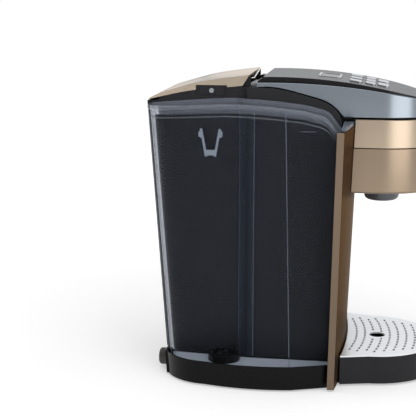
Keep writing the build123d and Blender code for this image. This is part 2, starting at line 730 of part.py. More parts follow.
def wall_clip():
    """U-shaped clip on the inner wall of the reservoir, its arms spreading to an ear at each top."""
    x = -RES_INNER_REAR - RES_WALL - 0.3
    low = CLIP_LOW_W / 2
    top = CLIP_TOP_W / 2
    clip = polygon_x([(CLIP_Y - low, CLIP_Z), (CLIP_Y + low, CLIP_Z), (CLIP_Y + low, CLIP_Z + CLIP_BAR_H),
                      (CLIP_Y - low, CLIP_Z + CLIP_BAR_H)], x - CLIP_DEPTH, x)
    for side in (-1, 1):
        foot = CLIP_Y + side * low
        head = CLIP_Y + side * top
        inner = -side * CLIP_ARM
        clip += polygon_x([(foot, CLIP_Z - 1.5), (head, CLIP_Z + CLIP_H), (head + inner, CLIP_Z + CLIP_H),
                           (foot + inner, CLIP_Z - 1.5)], x - CLIP_DEPTH, x)
        ear_z = CLIP_Z + CLIP_H - CLIP_EAR_H
        clip += polygon_x([(head + inner, ear_z + CLIP_EAR_H), (head + side * 1.6, ear_z + 5),
                           (head + side * 1.6, ear_z), (head + inner, ear_z - 1)], x - CLIP_DEPTH, x)
    return clip


# Brew head


def panel_cut():
    """Room taken by the front panel and what is behind it."""
    low = PANEL_LOW_Z
    return column(low, COLLAR_TOP_Z + 20, 140, 140, -HEAD_PANEL_GAP, 0, 0)


def head_lower_shell():
    body = head_plan(HEAD_LOW_Z, SEAM_Z - SEAM_GAP / 2, 0, HEAD_REAR_Y)
    body = fillet(body.edges().group_by(Axis.Z)[0], HEAD_EDGE_R)
    body -= head_plan(HEAD_LOW_Z + HEAD_WALL, SEAM_Z + 1, -HEAD_WALL, HEAD_REAR_Y)
    body -= post(0, POD_Y, HEAD_LOW_Z - 1, HEAD_LOW_Z + 10, FUNNEL_R + HOLDER_CLEAR)
    return body - panel_cut()


def head_collar():
    low = SEAM_Z + SEAM_GAP / 2
    body = head_plan(low, COLLAR_TOP_Z, 0, HEAD_REAR_Y)
    body -= head_plan(low - 1, COLLAR_TOP_Z + 1, -HEAD_WALL, HEAD_REAR_Y)
    return body - panel_cut()


def head_deck():
    """Deck inside the collar: the pod holder hangs in it and the latch catches its front slot."""
    grow = -HEAD_WALL - COVER_GAP
    rear = COLUMN_FRONT_Y - 0.6
    deck = head_plan(HEAD_DECK_Z, HEAD_DECK_Z + HEAD_DECK_T, grow, rear)
    deck += head_plan(HEAD_DECK_Z + 1, COLLAR_TOP_Z, grow, rear) - head_plan(0, 400, grow - 2, rear - 2)
    deck -= post(0, POD_Y, 0, 400, HOLDER_R + HOLDER_CLEAR)
    slot = LATCH_W / 2 + 2
    deck -= box(-slot, slot, LATCH_Y - 4, LATCH_Y + 4, 0, 400)
    for side in (-1, 1):
        for y in STAND_Y:
            deck += post(side * STAND_X, POD_Y + y, HEAD_LOW_Z + HEAD_WALL + 0.1, HEAD_DECK_Z + 1, STAND_R)
    return deck


def pod_holder():
    top = HEAD_DECK_Z + HEAD_DECK_T
    body = ring(0, POD_Y, top + 0.1, top + HOLDER_FLANGE_T, HOLDER_FLANGE_R, HOLDER_R - HOLDER_WALL)
    body += ring(0, POD_Y, HOLDER_LOW_Z, top + 1, HOLDER_R, HOLDER_R - HOLDER_WALL)
    body += post(0, POD_Y, HOLDER_LOW_Z, HOLDER_LOW_Z + HOLDER_WALL, HOLDER_R)
    return body - post(0, POD_Y, 0, 400, EXIT_NEEDLE_R + 1.5)


def exit_needle():
    low = HOLDER_LOW_Z - 3
    needle = ring(0, POD_Y, low, HOLDER_LOW_Z + HOLDER_WALL + EXIT_NEEDLE_H, EXIT_NEEDLE_R, 0.8)
    return needle + ring(0, POD_Y, low, HOLDER_LOW_Z - 0.1, EXIT_NEEDLE_R + 3.0, 0.8)


def funnel():
    """Funnel under the pod holder, ending in the nozzle dome below the head."""
    top = HOLDER_LOW_Z - 0.2
    step = HEAD_LOW_Z - 2
    body = post(0, POD_Y, step, top, FUNNEL_R)
    dome = Pos(0, POD_Y, FUNNEL_LOW_Z) * Cone(NOZZLE_R, NOZZLE_R + 2, step - FUNNEL_LOW_Z,
                                              align=(Align.CENTER, Align.CENTER, Align.MIN))
    body += fillet(dome.edges().group_by(Axis.Z)[0], DOME_EDGE_R)
    body -= post(0, POD_Y, step + 3, top + 1, FUNNEL_R - FUNNEL_WALL)
    body -= Pos(0, POD_Y, FUNNEL_LOW_Z + 3) * Cone(SPOUT_R, NOZZLE_R - 3, step - FUNNEL_LOW_Z + 0.5,
                                                   align=(Align.CENTER, Align.CENTER, Align.MIN))
    return body - post(0, POD_Y, 0, 300, SPOUT_R)


# Lid


def crown_z(y, drop=0.0):
    return TOP_Z - drop - LID_TOP_R + math.sqrt(LID_TOP_R ** 2 - (y - LID_CROWN_Y) ** 2)


def handle_top_z(y):
    return HANDLE_CROWN_Z - HANDLE_TOP_R + math.sqrt(HANDLE_TOP_R ** 2 - (y - LID_CROWN_Y) ** 2)


def crown_arc(y0, y1, drop):
    middle = (y0 + y1) / 2
    return ThreePointArc((0, y0, crown_z(y0, drop)), (0, middle, crown_z(middle, drop)),
                         (0, y1, crown_z(y1, drop)))


def lid_low_edges(front_y, dz, rear_y):
    """Lower line of the lid, from its front to the hinge: flat, then up over the arch."""
    arch = [(0, y - LID_GAP, z + LID_GAP + dz) for y, z in ARCH[1:-1]]
    arch = [(0, ARCH[0][0] - LID_GAP - 1.5, HANDLE_LOW_Z + dz)] + arch
    arch += [(0, rear_y, ARCH[-1][1] + LID_GAP + dz)]
    return [Line((0, front_y, HANDLE_LOW_Z + dz), arch[0]), Spline(*arch)], arch[-1]


def handle():
    front = HANDLE_LIP_Y - 5
    low, end = lid_low_edges(front, 0, LID_REAR_Y)
    top_rear = (0, LID_REAR_Y, handle_top_z(LID_REAR_Y))
    middle = (0, front / 2, handle_top_z(front / 2))
    top_front = (0, front, handle_top_z(front))
    outline = low + [Line(end, top_rear), ThreePointArc(top_rear, middle, top_front)]
    outline += [Line(top_front, (0, front, HANDLE_LOW_Z))]
    side = across(outline, -90, 90)
    grow = HANDLE_X - HEAD_R
    wall = head_plan(260, 345, grow, LID_REAR_Y + 5) - head_plan(250, 350, grow - HANDLE_WALL, LID_REAR_Y + 9)
    lip_r = POD_Y - HANDLE_LIP_Y
    lip = post(0, POD_Y, HANDLE_LIP_Z, HANDLE_LIP_Z + HANDLE_LIP_H, lip_r)
    lip -= post(0, POD_Y, 200, 400, HEAD_R - 1.5)
    lip &= box(-46, 46, -170, POD_Y, 200, 400)
    return (wall & side) + lip


def slope_frame(y, drop=0.0):
    """Placement on the lid's crown at y, its own Z square to the surface."""
    angle = math.degrees(math.asin((LID_CROWN_Y - y) / LID_TOP_R))
    return Pos(0, y, crown_z(y, drop)) * Rot(angle, 0, 0)


def control_frame():
    """One plane for every button: the lid's tangent at the middle of the controls."""
    return slope_frame(CONTROL_Y)


def in_plane_y(y):
    angle = math.asin((LID_CROWN_Y - CONTROL_Y) / LID_TOP_R)
    return (y - CONTROL_Y) / math.cos(angle)


def button_block(x, y, width, length, z0, z1, grow, radius):
    frame = control_frame() * Pos(x, in_plane_y(y), z0)
    outline = RectangleRounded(width + 2 * grow, length + 2 * grow, radius)
    return frame * extrude(outline, amount=z1 - z0)


def lid_top_panel():
    front = POD_Y - LID_PANEL_X
    rear = LID_REAR_Y
    rear_top = LID_REAR_TOP_Y
    outline = [crown_arc(front - 6, rear_top, 0), crown_arc(front - 6, rear, LID_PANEL_T)]
    outline += [Line((0, rear_top, crown_z(rear_top)), (0, rear, crown_z(rear, LID_PANEL_T)))]
    outline += [Line((0, front - 6, crown_z(front - 6)), (0, front - 6, crown_z(front - 6, LID_PANEL_T)))]
    panel = across(outline, -90, 90) & head_plan(200, 400, LID_PANEL_X - HEAD_R, rear + 5)
    for name, x, y, width, length in BUTTONS:
        panel -= button_block(x, y, width, length, -12, 8, BUTTON_CLEAR, 3.0)
    frame = slope_frame(DISPLAY_Y)
    wide = DISPLAY_W + 2 * BEZEL_W + 0.4
    long = DISPLAY_L + 2 * BEZEL_W + 0.4
    return panel - frame * Pos(0, 0, -1.6) * extrude(RectangleRounded(wide, long, 3.4), amount=6) \
        - frame * Pos(0, 0, -9) * extrude(RectangleRounded(DISPLAY_W - 2, DISPLAY_L - 2, 2.0), amount=10)


def lid_inner_shell():
    front = HANDLE_LIP_Y - 5
    rear = LID_REAR_Y - 1.5
    low, end = lid_low_edges(front, 0.3, rear)
    top_rear = (0, rear, crown_z(rear, LID_PANEL_T + 0.2))
    top_front = (0, front, crown_z(front, LID_PANEL_T + 0.2))
    outline = low + [Line(end, top_rear), crown_arc(front, rear, LID_PANEL_T + 0.2)]
    outline += [Line(top_front, (0, front, HANDLE_LOW_Z + 0.3))]
    grow = HANDLE_X - HEAD_R - HANDLE_WALL - 0.4
    shell = across(outline, -90, 90) & head_plan(200, 400, grow, rear + 5)
    low_in, end_in = lid_low_edges(front, 0.3 + LID_FLOOR_T, rear - 6)
    top_in = (0, rear - 6, 340)
    hollow = low_in + [Line(end_in, top_in), Line(top_in, (0, front, 340))]
    hollow += [Line((0, front, 340), (0, front, HANDLE_LOW_Z + 0.3 + LID_FLOOR_T))]
    shell -= across(hollow, -90, 90) & head_plan(200, 400, grow - LID_SHELL_WALL, rear + 5)
    for side in (-1, 1):
        x0 = side * KNUCKLE_X
        x1 = side * (KNUCKLE_X + KNUCKLE_L)
        low_x = min(x0, x1)
        high_x = max(x0, x1)
        shell += rod_x(low_x, high_x, HINGE_Y, HINGE_Z, KNUCKLE_R)
        shell += box(low_x, high_x, rear - 8, HINGE_Y, HINGE_Z + 1.2, HINGE_Z + 4.2)
        shell -= rod_x(low_x - 1, high_x + 1, HINGE_Y, HINGE_Z, PIN_R + PIN_RUN_GAP)
    shell -= post(0, POD_Y, 280, 300, GASKET_R - 8)
    for side in (-1, 1):
        for y in KEYPAD_POSTS_Y:
            shell += post(side * KEYPAD_POST_X, y, HANDLE_LOW_Z + 1, crown_z(y) - BOARD_POST_DROP,
                          KEYPAD_POST_R)
    return shell


def entry_needle():
    top = HANDLE_LOW_Z + 8.0
    body = ring(0, POD_Y, ENTRY_NEEDLE_LOW_Z, top, ENTRY_NEEDLE_R, 0.7)
    return body + ring(0, POD_Y, HANDLE_LOW_Z + 3.0, top, GASKET_R - 5, 0.7)


def needle_gasket():
    top = HANDLE_LOW_Z - 0.1
    return ring(0, POD_Y, top - GASKET_T + 0.6, top, GASKET_R, ENTRY_NEEDLE_R + 0.6)


def latch_hook():
    low = HEAD_DECK_Z - 5
    half = LATCH_W / 2
    y = LATCH_Y
    points = [(y - 1.5, HANDLE_LOW_Z + 0.1), (y + 1.5, HANDLE_LOW_Z + 0.1), (y + 1.5, low + 1), (y, low),
              (y - 2.6, low + 3), (y - 1.5, low + 4.5)]
    return polygon_x(points, -half, half)


def display_bezel():
    frame = slope_frame(DISPLAY_Y)
    outer = extrude(RectangleRounded(DISPLAY_W + 2 * BEZEL_W, DISPLAY_L + 2 * BEZEL_W, 3.2), amount=2.0)
    inner = extrude(RectangleRounded(DISPLAY_W, DISPLAY_L, 1.6), amount=6)
    return frame * Pos(0, 0, -1.4) * (outer - Pos(0, 0, -1) * inner)


def display_window():
    frame = slope_frame(DISPLAY_Y)
    pane = extrude(RectangleRounded(DISPLAY_W - 0.4, DISPLAY_L - 0.4, 1.4), amount=1.5)
    return frame * Pos(0, 0, -1.4) * pane


def display_module():
    frame = slope_frame(DISPLAY_Y)
    return frame * Pos(0, 0, -7.4) * Box(DISPLAY_W + 2, DISPLAY_L + 1, 3.4)


def button(x, y, width, length):
    low = -LID_PANEL_T - 0.7 - BUTTON_SEAT
    cap = button_block(x, y, width, length, low, BUTTON_PROUD, 0, 2.6)
    return cap + button_block(x, y, width, length, low - BUTTON_FLANGE_T, low, BUTTON_FLANGE, 3.0)


def button_top():
    return -LID_PANEL_T - 0.7 - BUTTON_SEAT - BUTTON_FLANGE_T - BUTTON_TRAVEL - 0.15


def keypad_board():
    """Board under the buttons, with a switch dome below each."""
    low = button_top() - DOME_H - BOARD_T
    board = control_frame() * Pos(0, 0, low) * extrude(Rectangle(KEYPAD_W, KEYPAD_L), amount=BOARD_T)
    for name, x, y, width, length in BUTTONS:
        dome = Cone(DOME_R, DOME_R - 1.2, DOME_H + 0.2, align=(Align.CENTER, Align.CENTER, Align.MIN))
        board += control_frame() * Pos(x, in_plane_y(y), low + BOARD_T - 0.2) * dome
    return board


def hinge_pin():
    return rod_x(-PIN_HALF, PIN_HALF, HINGE_Y, HINGE_Z, PIN_R)


def hinge_brackets():
    brackets = []
    for side in (-1, 1):
        x0 = side * BRACKET_X
        x1 = side * (BRACKET_X + BRACKET_T - 1)
        low_x = min(x0, x1)
        high_x = max(x0, x1)
        ear = rod_x(low_x, high_x, HINGE_Y, HINGE_Z, KNUCKLE_R)
        ear += box(low_x, high_x, HINGE_Y - KNUCKLE_R, HINGE_Y + KNUCKLE_R, TROUGH_Z, HINGE_Z)
        ear -= rod_x(low_x - 1, high_x + 1, HINGE_Y, HINGE_Z, PIN_R + PIN_FIXED_GAP)
        brackets.append(ear)
    return Compound(brackets)


# Drip tray


def tray_body():
    body = tray_block(TRAY_LOW_Z, TRAY_TOP_Z, 0)
    body -= tray_block(TRAY_FLOOR_Z, TRAY_TOP_Z + 1, TRAY_WALL)
    under = FOOT_H + TONGUE_T + TONGUE_GAP
    body -= tray_block(0, under, TRAY_WALL)
    half = TRAY_REAR_X - TRAY_WALL - 1.5
    return body - box(-half, half, TRAY_REAR_APEX - 6, -40, 0, under)


def slot_rows():
    """Drain slots in rows bowed to the front, each row as many as its width holds."""
    slots = []
    for row in range(SLOT_ROWS):
        y0 = SLOT_FIRST_Y - row * SLOT_PITCH
        shift = 0.5 * (row % 2)
        for index in range(-SLOT_SPAN, SLOT_SPAN + 1):
            x = (index + shift) * SLOT_STEP
            y = y0 + SLOT_ARC_R - math.sqrt(SLOT_ARC_R ** 2 - x ** 2)
            reach = abs(x) + SLOT_L / 2
            room = TRAY_SIDE_X - SLOT_EDGE
            front = max(0.0, TRAY_SIDE_Y - y + 2.0)
            clear_front = math.hypot(reach, front) < room
            clear_hole = math.hypot(x, y - POD_Y) > DRIP_HOLE_R + SLOT_L / 2 + 2.0
            if clear_front and clear_hole:
                turn = math.degrees(math.asin(x / SLOT_ARC_R))
                slots.append(Pos(x, y, 0) * Rot(0, 0, turn) * SlotOverall(SLOT_L, SLOT_W))
    return slots


def drip_plate():
    low = TRAY_TOP_Z + DRIP_SEAT_GAP
    face = tray_face(low, DRIP_INSET)
    holes = [Pos(0, 0, low) * slot for slot in slot_rows()]
    holes.append(Pos(0, POD_Y, low) * Circle(DRIP_HOLE_R))
    plate = extrude(face - holes, amount=DRIP_T, dir=(0, 0, 1))
    outer = TRAY_WALL + DRIP_RIM_GAP
    rim = tray_block(low - DRIP_RIM_H, low + 0.2, outer) - tray_block(low - 9, low + 2, outer + DRIP_RIM_T)
    return plate + rim


# Works


def pump_body():
    x, y = PUMP_PLACE
    low = DECK_Z + PUMP_MOUNT_T + 0.1
    body = post(x, y, low, low + PUMP_H, PUMP_R)
    body -= post(x, y, low + PUMP_WALL, low + PUMP_H - PUMP_WALL, IMPELLER_R + 1.5)
    return body - post(x, y, low + PUMP_H - PUMP_WALL - 1, low + PUMP_H + 1, SHAFT_R + SHAFT_GAP)


def pump_mount():
    x, y = PUMP_PLACE
    return ring(x, y, DECK_Z + 0.05, DECK_Z + PUMP_MOUNT_T, PUMP_R - 1, PUMP_R - 9)


def pump_motor():
    x, y = PUMP_PLACE
    low = DECK_Z + PUMP_MOUNT_T + PUMP_H + 0.2
    body = post(x, y, low, low + MOTOR_H, MOTOR_R)
    return body - post(x, y, low - 1, low + MOTOR_H - 6, SHAFT_R + SHAFT_GAP)


def pump_rotor():
    x, y = PUMP_PLACE
    low = DECK_Z + PUMP_MOUNT_T + PUMP_WALL + 4
    rotor = post(x, y, low, low + PUMP_H + MOTOR_H - 20, SHAFT_R)
    rotor += post(x, y, low, low + IMPELLER_T, SHAFT_R + 3)
    for turn in range(BLADES):
        blade = box(SHAFT_R + 2, IMPELLER_R, -1, 1, low, low + IMPELLER_T)
        rotor += Pos(x, y, 0) * Rot(0, 0, 360 / BLADES * turn) * blade
    return rotor + post(x, y, low, low + 1.5, IMPELLER_R)


def heater_tank():
    x, y = TANK_PLACE
    tank = ring(x, y, TANK_LOW_Z, TANK_LOW_Z + TANK_H, TANK_R, TANK_R - TANK_WALL)
    return tank + post(x, y, TANK_LOW_Z, TANK_LOW_Z + TANK_WALL, TANK_R)


def tank_lid():
    x, y = TANK_PLACE
    low = TANK_LOW_Z + TANK_H + 0.1
    skirt = ring(x, y, low - 6, low + 1, TANK_R + 2, TANK_R + 0.2)
    return post(x, y, low, low + TANK_CAP_H, TANK_R + 2) + skirt


def tank_legs():
    x, y = TANK_PLACE
    legs = ring(x, y, TANK_LOW_Z - LEG_RING_H, TANK_LOW_Z - 0.1, TANK_R, TANK_R - 12)
    for turn in range(TANK_LEGS):
        angle = math.radians(30 + 360 / TANK_LEGS * turn)
        reach = TANK_R - LEG_RING_H
        legs += post(x + reach * math.cos(angle), y + reach * math.sin(angle), DECK_Z + 0.1,
                     TANK_LOW_Z - 3, LEG_R)
    return legs


def hose(points, radii, outer=HOSE_R, bore=HOSE_BORE_R):
    path = FilletPolyline(*points, radius=radii)
    start = Plane(origin=path @ 0, z_dir=path % 0)
    return sweep(start * (Circle(outer) - Circle(bore)), path=path)


def brew_hose():
    tx, ty = TANK_PLACE
    low = TANK_LOW_Z + TANK_H + TANK_CAP_H + 0.3
    turn, end = BREW_HOSE_Z
    return hose([(tx, ty, low), (tx, ty, turn), (tx, BREW_HOSE_Y, turn), (tx, BREW_HOSE_Y, end)], [16, 14])


def lid_hose():
    """Flexible hose from the entry needle's mount back towards the hinge."""
    side = POD_Y + GASKET_R - 5 + 0.2
    z = HANDLE_LOW_Z + 6.0
    points = [(0, side, z), (0, side + 20, z), (0, side + 44, z + 14), (0, side + 64, z + 20.8)]
    return hose(points, [10, 20], LID_HOSE_R, LID_HOSE_R - 1.2)


def control_board():
    return box(BOARD_X, BOARD_X + BOARD_T, BOARD_Y[0], BOARD_Y[1], BOARD_Z[0], BOARD_Z[1])


save("base_housing", base_housing())
save("base_plate", base_plate())
save("base_screws", base_screws())
save("rubber_feet", rubber_feet())
save("dock_socket", dock_socket())
save("dock_seal", dock_seal())
save("cord_gland", cord_gland())
save("left_side_panel", left_panel())
save("right_inner_wall", right_wall())
save("right_side_cover", right_side_cover())
save("rear_cover", rear_cover())
save("front_panel", front_panel())
save("panel_top_trim", panel_top_trim())
save("top_deck", top_deck())
save("rear_top_cap", rear_top_cap())
save("side_latch_plate", side_latch_plate())
save("cap_screw", cap_screw())
save("reservoir_shell", reservoir_shell())
save("outlet_fitment", outlet_fitment())
save("valve_plunger", valve_plunger())
save("valve_spring", valve_spring())
save("wall_clip", wall_clip())
save("head_lower_shell", head_lower_shell())
save("head_collar", head_collar())
save("head_deck", head_deck())
save("pod_holder", pod_holder())
save("exit_needle", exit_needle())
save("funnel", funnel())
save("handle", handle())
save("lid_top_panel", lid_top_panel())
save("lid_inner_shell", lid_inner_shell())
save("entry_needle", entry_needle())
save("needle_gasket", needle_gasket())
save("latch_hook", latch_hook())
save("display_bezel", display_bezel())
save("display_window", display_window())
save("display_module", display_module())
for name, x, y, width, length in BUTTONS:
    save(name, button(x, y, width, length))
save("keypad_board", keypad_board())
save("hinge_pin", hinge_pin())
save("hinge_brackets", hinge_brackets())
save("tray_body", tray_body())
save("drip_plate", drip_plate())
save("pump_body", pump_body())
save("pump_mount", pump_mount())
save("pump_motor", pump_motor())
save("pump_rotor", pump_rotor())
save("heater_tank", heater_tank())
save("tank_lid", tank_lid())
save("tank_legs", tank_legs())
save("brew_hose", brew_hose())
save("lid_hose", lid_hose())
save("control_board", control_board())
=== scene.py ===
import json
import math
import bmesh
import bpy
import numpy as np
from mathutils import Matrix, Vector

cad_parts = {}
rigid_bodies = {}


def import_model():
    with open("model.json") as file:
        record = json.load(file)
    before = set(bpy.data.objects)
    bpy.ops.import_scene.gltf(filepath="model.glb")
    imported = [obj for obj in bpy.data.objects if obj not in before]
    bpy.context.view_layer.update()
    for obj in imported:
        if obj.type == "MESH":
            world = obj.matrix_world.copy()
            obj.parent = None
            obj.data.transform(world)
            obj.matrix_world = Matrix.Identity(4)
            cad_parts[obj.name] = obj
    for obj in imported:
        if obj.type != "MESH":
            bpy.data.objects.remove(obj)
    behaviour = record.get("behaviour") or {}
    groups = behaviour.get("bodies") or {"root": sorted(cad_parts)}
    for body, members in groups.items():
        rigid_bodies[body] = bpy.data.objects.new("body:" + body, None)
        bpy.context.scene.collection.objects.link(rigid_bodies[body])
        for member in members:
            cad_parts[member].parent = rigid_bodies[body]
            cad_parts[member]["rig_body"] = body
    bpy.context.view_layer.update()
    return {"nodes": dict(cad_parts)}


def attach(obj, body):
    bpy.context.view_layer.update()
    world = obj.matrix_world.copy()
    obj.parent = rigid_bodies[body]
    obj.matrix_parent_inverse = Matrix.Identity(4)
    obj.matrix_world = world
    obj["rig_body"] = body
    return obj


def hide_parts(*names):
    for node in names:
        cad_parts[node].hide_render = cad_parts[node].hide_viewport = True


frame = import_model()
NODES = frame["nodes"]
scene = bpy.context.scene
MM = 0.001

# The photograph's camera, as fitted to its outlines, in metres and radians
CAMERA_PLACE = (-1.26303, -0.09347, 0.43702)
CAMERA_YAW = 0.15542
CAMERA_PITCH = 0.20105
LENS = 98.42
FILM_WIDTH = 36.0

# Floor: its glow rises from the first level to the second between two distances from the object; the lower glow
# near the object is painted shade round it, which reflections show too
FLOOR_REACH = 3.0
FLOOR_COLOUR = (0.82, 0.82, 0.83, 1.0)
GLOW_AND_PAINTED_SHADE_DISTANCE = (0.25, 0.95)
GLOW_AND_PAINTED_SHADE_LEVEL = (0.42, 0.60)

# Studio: an even fill, and in reflections a backdrop that is brightest behind the object and above the floor
WHITE = (1.0, 1.0, 1.0, 1.0)
FILL_LEVEL = 0.5
SHINE_COLOUR = (0.97, 0.98, 1.0, 1.0)
SHINE_RISE = (-0.05, 0.22)
SHINE_BACK = (-0.2, 0.7)
SHINE_LEVEL = (0.26, 1.15)

# Lamps: name, place, target, width, height, radiance
LAMPS = (
    ("right_box", (-0.92, -0.68, 0.52), (-0.05, -0.12, 0.3), 0.80, 1.0, 1.75),
    ("left_box", (-1.65, 0.62, 0.85), (0.0, 0.05, 0.2), 0.30, 1.5, 0.7),
    ("top_box", (-0.3, 0.1, 1.9), (0.0, 0.0, 0.0), 1.5, 1.5, 1.1),
    ("front_box", (-0.3, -2.0, 0.9), (0.0, 0.0, 0.2), 1.2, 1.2, 0.45),
)

# Clear plastic: how far it is turned away where it starts to pale, and its gloss
PALE_FACING = (0.80, 1.0)
PALE_ROUGH = 0.18
PLASTIC_IOR = 1.45
GLOSS_COLOUR = (0.92, 0.95, 1.0, 1.0)
GLOSS_ROUGH = 0.06
GLOSS_SHARE = 0.40

# Grain and cloud noises added together stay between these
TONE_RANGE = (0.6, 1.4)


def linear(value):
    return value / 12.92 if value <= 0.04045 else ((value + 0.055) / 1.055) ** 2.4


def colour(red, green, blue):
    return (linear(red), linear(green), linear(blue), 1.0)


# Shader nodes


def remap(tree, value, source, target, smooth=False):
    """Map Range: value between source's two ends becomes a value between target's."""
    node = tree.nodes.new("ShaderNodeMapRange")
    if smooth:
        node.interpolation_type = "SMOOTHSTEP"
    for socket, number in zip(("From Min", "From Max", "To Min", "To Max"), (*source, *target)):
        node.inputs[socket].default_value = number
    tree.links.new(value, node.inputs["Value"])
    return node.outputs[0]


def combine(tree, operation, first, second):
    """Math on two sockets, or on a socket and a number."""
    node = tree.nodes.new("ShaderNodeMath")
    node.operation = operation
    tree.links.new(first, node.inputs[0])
    if isinstance(second, float):
        node.inputs[1].default_value = second
    else:
        tree.links.new(second, node.inputs[1])
    return node.outputs[0]


def mixed(tree, share, first, second):
    """Mix Shader: the first where share is 0, the second where it is 1."""
    node = tree.nodes.new("ShaderNodeMixShader")
    for socket, value in enumerate((share, first, second)):
        tree.links.new(value, node.inputs[socket])
    return node.outputs[0]


def noise(tree, place, scale, detail, rough=0.5):
    """Noise stretched by scale along the piece's own axes."""
    mapping = tree.nodes.new("ShaderNodeMapping")
    mapping.inputs["Scale"].default_value = scale
    tree.links.new(place, mapping.inputs["Vector"])
    node = tree.nodes.new("ShaderNodeTexNoise")
    node.inputs["Scale"].default_value = 1.0
    node.inputs["Detail"].default_value = detail
    node.inputs["Roughness"].default_value = rough
    tree.links.new(mapping.outputs[0], node.inputs["Vector"])
    return node.outputs["Fac"]


# Camera, light and floor


def camera():
    data = bpy.data.cameras.new("camera")
    data.lens = LENS
    data.sensor_width = FILM_WIDTH
    data.clip_start = 0.05
    data.clip_end = 50.0
    view = bpy.data.objects.new("camera", data)
    scene.collection.objects.link(view)
    level = math.cos(CAMERA_PITCH)
    forward = Vector((math.cos(CAMERA_YAW) * level, math.sin(CAMERA_YAW) * level, -math.sin(CAMERA_PITCH)))
    view.location = CAMERA_PLACE
    view.rotation_euler = forward.to_track_quat("-Z", "Y").to_euler()
    scene.camera = view


def softbox(name, place, target, width, height, radiance):
    data = bpy.data.lights.new(name, "AREA")
    data.shape = "RECTANGLE"
    data.size = width
    data.size_y = height
    data.energy = radiance * math.pi * width * height
    lamp = bpy.data.objects.new(name, data)
    scene.collection.objects.link(lamp)
    lamp.location = place
    lamp.rotation_euler = (Vector(target) - Vector(place)).to_track_quat("-Z", "Y").to_euler()


def backdrop(tree, tint, strength):
    """Background shader; strength is a number or a socket."""
    node = tree.nodes.new("ShaderNodeBackground")
    node.inputs["Color"].default_value = tint
    if isinstance(strength, float):
        node.inputs["Strength"].default_value = strength
    else:
        tree.links.new(strength, node.inputs["Strength"])
    return node.outputs[0]


def world():
    """White to the camera and through clear plastic, an even fill, and the backdrop in reflections."""
    studio = bpy.data.worlds.new("studio")
    scene.world = studio
    studio.use_nodes = True
    tree = studio.node_tree
    tree.nodes.clear()
    out = tree.nodes.new("ShaderNodeOutputWorld")
    path = tree.nodes.new("ShaderNodeLightPath").outputs
    place = tree.nodes.new("ShaderNodeTexCoord")
    split = tree.nodes.new("ShaderNodeSeparateXYZ")
    tree.links.new(place.outputs["Generated"], split.inputs[0])
    rise = remap(tree, split.outputs["Z"], SHINE_RISE, (0.0, 1.0))
    back = remap(tree, split.outputs["X"], SHINE_BACK, (0.0, 1.0))
    level = remap(tree, combine(tree, "MULTIPLY", rise, back), (0.0, 1.0), SHINE_LEVEL)
    shine = backdrop(tree, SHINE_COLOUR, level)
    fill = backdrop(tree, WHITE, FILL_LEVEL)
    white = backdrop(tree, WHITE, 1.0)
    seen = combine(tree, "MAXIMUM", path["Is Camera Ray"], path["Is Transmission Ray"])
    unseen = mixed(tree, path["Is Glossy Ray"], fill, shine)
    tree.links.new(mixed(tree, seen, unseen, white), out.inputs["Surface"])


def floor():
    """Pale floor that keeps the object's shadow, has painted shade in its lower glow near the object, and goes
    white away from it.
    """
    mesh = bpy.data.meshes.new("floor")
    reach = FLOOR_REACH
    mesh.from_pydata([(-reach, -reach, 0), (reach, -reach, 0), (reach, reach, 0), (-reach, reach, 0)], [],
                     [(0, 1, 2, 3)])
    table = bpy.data.objects.new("floor", mesh)
    scene.collection.objects.link(table)
    mat = bpy.data.materials.new("floor")
    mat.use_nodes = True
    tree = mat.node_tree
    tree.nodes.clear()
    out = tree.nodes.new("ShaderNodeOutputMaterial")
    path = tree.nodes.new("ShaderNodeLightPath").outputs
    matt = tree.nodes.new("ShaderNodeBsdfDiffuse")
    matt.inputs["Color"].default_value = FLOOR_COLOUR
    glow = tree.nodes.new("ShaderNodeEmission")
    glow.inputs["Color"].default_value = WHITE
    place = tree.nodes.new("ShaderNodeTexCoord")
    distance = tree.nodes.new("ShaderNodeVectorMath")
    distance.operation = "LENGTH"
    tree.links.new(place.outputs["Object"], distance.inputs[0])
    # The glow is lower near the object: painted shade round it, which glossy rays see too.
    level = remap(tree, distance.outputs["Value"], GLOW_AND_PAINTED_SHADE_DISTANCE, GLOW_AND_PAINTED_SHADE_LEVEL, smooth=True)
    seen = combine(tree, "MAXIMUM", path["Is Camera Ray"], path["Is Glossy Ray"])
    seen = combine(tree, "MAXIMUM", seen, path["Is Transmission Ray"])
    tree.links.new(combine(tree, "MULTIPLY", seen, level), glow.inputs["Strength"])
    both = tree.nodes.new("ShaderNodeAddShader")
    tree.links.new(matt.outputs[0], both.inputs[0])
    tree.links.new(glow.outputs[0], both.inputs[1])
    tree.links.new(both.outputs[0], out.inputs["Surface"])
    mesh.materials.append(mat)


# Materials


def finish_node(tree, bsdf, rgb, rough, grain, spread, vary, rough_vary, bump, depth):
    """Grain that varies colour and roughness a little and raises a fine bump."""
    place = tree.nodes.new("ShaderNodeTexCoord").outputs["Object"]
    fine = noise(tree, place, grain, 4.0, 0.6)
    cloud = noise(tree, place, spread, 2.0)
    both = combine(tree, "ADD", fine, cloud)
    mix = tree.nodes.new("ShaderNodeMix")
    mix.data_type = "RGBA"
    ends = [socket for socket in mix.inputs if socket.type == "RGBA"]
    ends[0].default_value = tuple(c * (1.0 - vary) for c in rgb[:3]) + (1.0,)
    ends[1].default_value = tuple(min(1.0, c * (1.0 + vary)) for c in rgb[:3]) + (1.0,)
    tree.links.new(remap(tree, both, TONE_RANGE, (0.0, 1.0)), mix.inputs["Factor"])
    tint = [socket for socket in mix.outputs if socket.type == "RGBA"][0]
    tree.links.new(tint, bsdf.inputs["Base Color"])
    rub = remap(tree, both, TONE_RANGE, (rough - rough_vary, rough + rough_vary))
    tree.links.new(rub, bsdf.inputs["Roughness"])
    relief = tree.nodes.new("ShaderNodeBump")
    relief.inputs["Strength"].default_value = bump
    relief.inputs["Distance"].default_value = depth
    tree.links.new(fine, relief.inputs["Height"])
    tree.links.new(relief.outputs[0], bsdf.inputs["Normal"])


